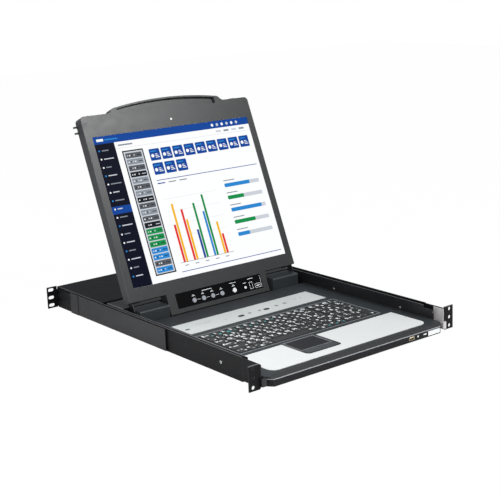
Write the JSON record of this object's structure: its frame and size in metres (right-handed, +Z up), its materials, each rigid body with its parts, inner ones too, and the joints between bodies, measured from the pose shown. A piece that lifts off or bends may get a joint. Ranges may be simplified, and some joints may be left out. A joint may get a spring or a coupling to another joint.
{
  "type": "rackmount LCD console drawer",
  "caption": "Slide-out rackmount console drawer with a fold-up display, keyboard, touchpad, ball slides, adjustable rear brackets and a rear switch housing.",
  "frame": {"origin": "centre of the six front rack holes, in the plane of the front ears' rear faces", "axes": "+X to the right seen from the front, +Y to the back of the rack, +Z up"},
  "size_m": [0.4826, 0.6726, 0.4155],
  "materials": {
    "chassis_steel": "satin black powder coat",
    "sleeve_steel": "satin black powder coat",
    "zinc_steel": "zinc-plated",
    "hinge_steel": "black",
    "race_plastic": "natural nylon",
    "tray_steel": "satin black powder coat",
    "deck_plastic": "fine texture",
    "bezel_plastic": "fine texture",
    "silver_plate": "satin silver lacquer",
    "touch_film": "smooth matt",
    "click_plastic": "smooth matt",
    "key_plastic": "fine texture",
    "base_plastic": "matt",
    "strip_rubber": "matt",
    "lens_clear": "milky lens",
    "port_metal": "bright tin plate",
    "display_plastic": "fine texture",
    "shell_plastic": "fine texture",
    "module_steel": "plain sheet",
    "screen": "anti-glare",
    "osd_plastic": "gloss black",
    "knob_plastic": "satin grey",
    "power_knob_plastic": "satin white",
    "catch_plastic": "satin",
    "board_laminate": "solder mask",
    "socket_plastic": "matt",
    "rocker_plastic": "gloss"
  },
  "bodies": {
    "chassis": {"chassis_shell": "chassis_steel", "front_ear_left": "chassis_steel", "front_ear_right": "chassis_steel", "latch_plates": "zinc_steel", "slide_outers": "zinc_steel", "bracket_sleeve_left": "sleeve_steel", "bracket_sleeve_right": "sleeve_steel", "switch_housing": "chassis_steel", "top_cover": "chassis_steel", "main_board": "board_laminate", "video_ports": "port_metal", "network_jacks": "socket_plastic", "power_inlet": "socket_plastic", "rocker_frame": "socket_plastic"},
    "bracket_left": {"rear_bracket_left": "chassis_steel"},
    "bracket_right": {"rear_bracket_right": "chassis_steel"},
    "slides_middle": {"slide_middles": "zinc_steel"},
    "races_outer": {"outer_races": "race_plastic"},
    "races_inner": {"inner_races": "race_plastic"},
    "drawer": {"slide_inners": "zinc_steel", "drawer_tray": "tray_steel", "deck_plate": "deck_plastic", "palm_rest": "silver_plate", "touchpad_bezel": "deck_plastic", "touchpad_surface": "touch_film", "keyboard_base": "base_plastic", "indicator_strip": "silver_plate", "front_lamp": "lens_clear", "front_bezel": "bezel_plastic", "front_port": "port_metal", "rear_deck": "tray_steel", "hinge_cover_left": "deck_plastic", "hinge_cover_right": "deck_plastic", "hinge_bearings": "zinc_steel"},
    "display": {"display_shell": "shell_plastic", "display_bezel": "display_plastic", "display_module": "module_steel", "screen_glass": "screen", "osd_panel": "osd_plastic", "display_lights": "lens_clear", "hinge_shafts": "hinge_steel"},
    "rocker": {"power_rocker": "rocker_plastic"},
    "space_key": {"space_bar": "key_plastic"},
    "click_left": {"touchpad_button_left": "click_plastic"},
    "click_right": {"touchpad_button_right": "click_plastic"},
    "strip_key_left": {"strip_button_left": "strip_rubber"},
    "strip_key_right": {"strip_button_right": "strip_rubber"},
    "catch_left": {"display_catch_left": "catch_plastic"},
    "catch_right": {"display_catch_right": "catch_plastic"},
    "power_key": {"display_power_button": "power_knob_plastic"},
    "keys_1": {"key_row_1": "key_plastic"},
    "keys_2": {"key_row_2": "key_plastic"},
    "keys_3": {"key_row_3": "key_plastic"},
    "keys_4": {"key_row_4": "key_plastic"},
    "keys_5": {"key_row_5": "key_plastic"},
    "keys_6": {"key_row_6": "key_plastic"},
    "osd_key_1": {"osd_button_1": "knob_plastic"},
    "osd_key_2": {"osd_button_2": "knob_plastic"},
    "osd_key_3": {"osd_button_3": "knob_plastic"},
    "osd_key_4": {"osd_button_4": "knob_plastic"}
  },
  "joints": [
    {"name": "drawer_slide", "type": "slide", "parent": "chassis", "child": "drawer", "axis": [0, -1, 0], "range_m": [0, 0.42]},
    {"name": "middle_slide", "type": "slide", "parent": "chassis", "child": "slides_middle", "axis": [0, -1, 0], "range_m": [0, 0.21]},
    {"name": "outer_race_roll", "type": "slide", "parent": "chassis", "child": "races_outer", "axis": [0, -1, 0], "range_m": [0, 0.105]},
    {"name": "inner_race_roll", "type": "slide", "parent": "chassis", "child": "races_inner", "axis": [0, -1, 0], "range_m": [0, 0.315]},
    {"name": "display_hinge", "type": "hinge", "parent": "drawer", "child": "display", "pos_m": [0, 0.4005, 0.008], "axis": [1, 0, 0], "range_deg": [-7.5, 112.5]},
    {"name": "bracket_left_slide", "type": "slide", "parent": "chassis", "child": "bracket_left", "axis": [0, 1, 0], "range_m": [-0.055, 0.115]},
    {"name": "bracket_right_slide", "type": "slide", "parent": "chassis", "child": "bracket_right", "axis": [0, 1, 0], "range_m": [-0.055, 0.115]},
    {"name": "rocker_tilt", "type": "hinge", "parent": "chassis", "child": "rocker", "pos_m": [0.146, 0.6525, -0.003], "axis": [1, 0, 0], "range_deg": [-8, 8]},
    {"name": "space_press", "type": "slide", "parent": "drawer", "child": "space_key", "axis": [0, 0, -1], "range_m": [0, 0.0025], "stiffness_N_per_m": 300, "springref_m": -0.002},
    {"name": "key_row_1_press", "type": "slide", "parent": "drawer", "child": "keys_1", "axis": [0, 0, -1], "range_m": [0, 0.0025], "stiffness_N_per_m": 400, "springref_m": -0.003},
    {"name": "key_row_2_press", "type": "slide", "parent": "drawer", "child": "keys_2", "axis": [0, 0, -1], "range_m": [0, 0.0025], "stiffness_N_per_m": 400, "springref_m": -0.003},
    {"name": "key_row_3_press", "type": "slide", "parent": "drawer", "child": "keys_3", "axis": [0, 0, -1], "range_m": [0, 0.0025], "stiffness_N_per_m": 400, "springref_m": -0.003},
    {"name": "key_row_4_press", "type": "slide", "parent": "drawer", "child": "keys_4", "axis": [0, 0, -1], "range_m": [0, 0.0025], "stiffness_N_per_m": 400, "springref_m": -0.003},
    {"name": "key_row_5_press", "type": "slide", "parent": "drawer", "child": "keys_5", "axis": [0, 0, -1], "range_m": [0, 0.0025], "stiffness_N_per_m": 400, "springref_m": -0.003},
    {"name": "key_row_6_press", "type": "slide", "parent": "drawer", "child": "keys_6", "axis": [0, 0, -1], "range_m": [0, 0.0025], "stiffness_N_per_m": 400, "springref_m": -0.003},
    {"name": "click_left_press", "type": "slide", "parent": "drawer", "child": "click_left", "axis": [0, 0, -1], "range_m": [0, 0.0008], "stiffness_N_per_m": 300, "springref_m": -0.001},
    {"name": "strip_left_press", "type": "slide", "parent": "drawer", "child": "strip_key_left", "axis": [0, 0, -1], "range_m": [0, 0.0008], "stiffness_N_per_m": 300, "springref_m": -0.001},
    {"name": "click_right_press", "type": "slide", "parent": "drawer", "child": "click_right", "axis": [0, 0, -1], "range_m": [0, 0.0008], "stiffness_N_per_m": 300, "springref_m": -0.001},
    {"name": "strip_right_press", "type": "slide", "parent": "drawer", "child": "strip_key_right", "axis": [0, 0, -1], "range_m": [0, 0.0008], "stiffness_N_per_m": 300, "springref_m": -0.001},
    {"name": "catch_left_slide", "type": "slide", "parent": "display", "child": "catch_left", "axis": [1, 0, 0], "range_m": [0, 0.006], "stiffness_N_per_m": 200, "springref_m": -0.003},
    {"name": "catch_right_slide", "type": "slide", "parent": "display", "child": "catch_right", "axis": [-1, 0, 0], "range_m": [0, 0.006], "stiffness_N_per_m": 200, "springref_m": -0.003},
    {"name": "osd_1_press", "type": "slide", "parent": "display", "child": "osd_key_1", "axis": [0, 0.9239, -0.3827], "range_m": [0, 0.001], "stiffness_N_per_m": 300, "springref_m": -0.001},
    {"name": "osd_2_press", "type": "slide", "parent": "display", "child": "osd_key_2", "axis": [0, 0.9239, -0.3827], "range_m": [0, 0.001], "stiffness_N_per_m": 300, "springref_m": -0.001},
    {"name": "osd_3_press", "type": "slide", "parent": "display", "child": "osd_key_3", "axis": [0, 0.9239, -0.3827], "range_m": [0, 0.001], "stiffness_N_per_m": 300, "springref_m": -0.001},
    {"name": "osd_4_press", "type": "slide", "parent": "display", "child": "osd_key_4", "axis": [0, 0.9239, -0.3827], "range_m": [0, 0.001], "stiffness_N_per_m": 300, "springref_m": -0.001},
    {"name": "display_power_press", "type": "slide", "parent": "display", "child": "power_key", "axis": [0, 0.9239, -0.3827], "range_m": [0, 0.001], "stiffness_N_per_m": 300, "springref_m": -0.001}
  ],
  "couplings": [
    {"joint": "middle_slide", "follows": "drawer_slide", "ratio": 0.5},
    {"joint": "outer_race_roll", "follows": "drawer_slide", "ratio": 0.25},
    {"joint": "inner_race_roll", "follows": "drawer_slide", "ratio": 0.75}
  ]
}
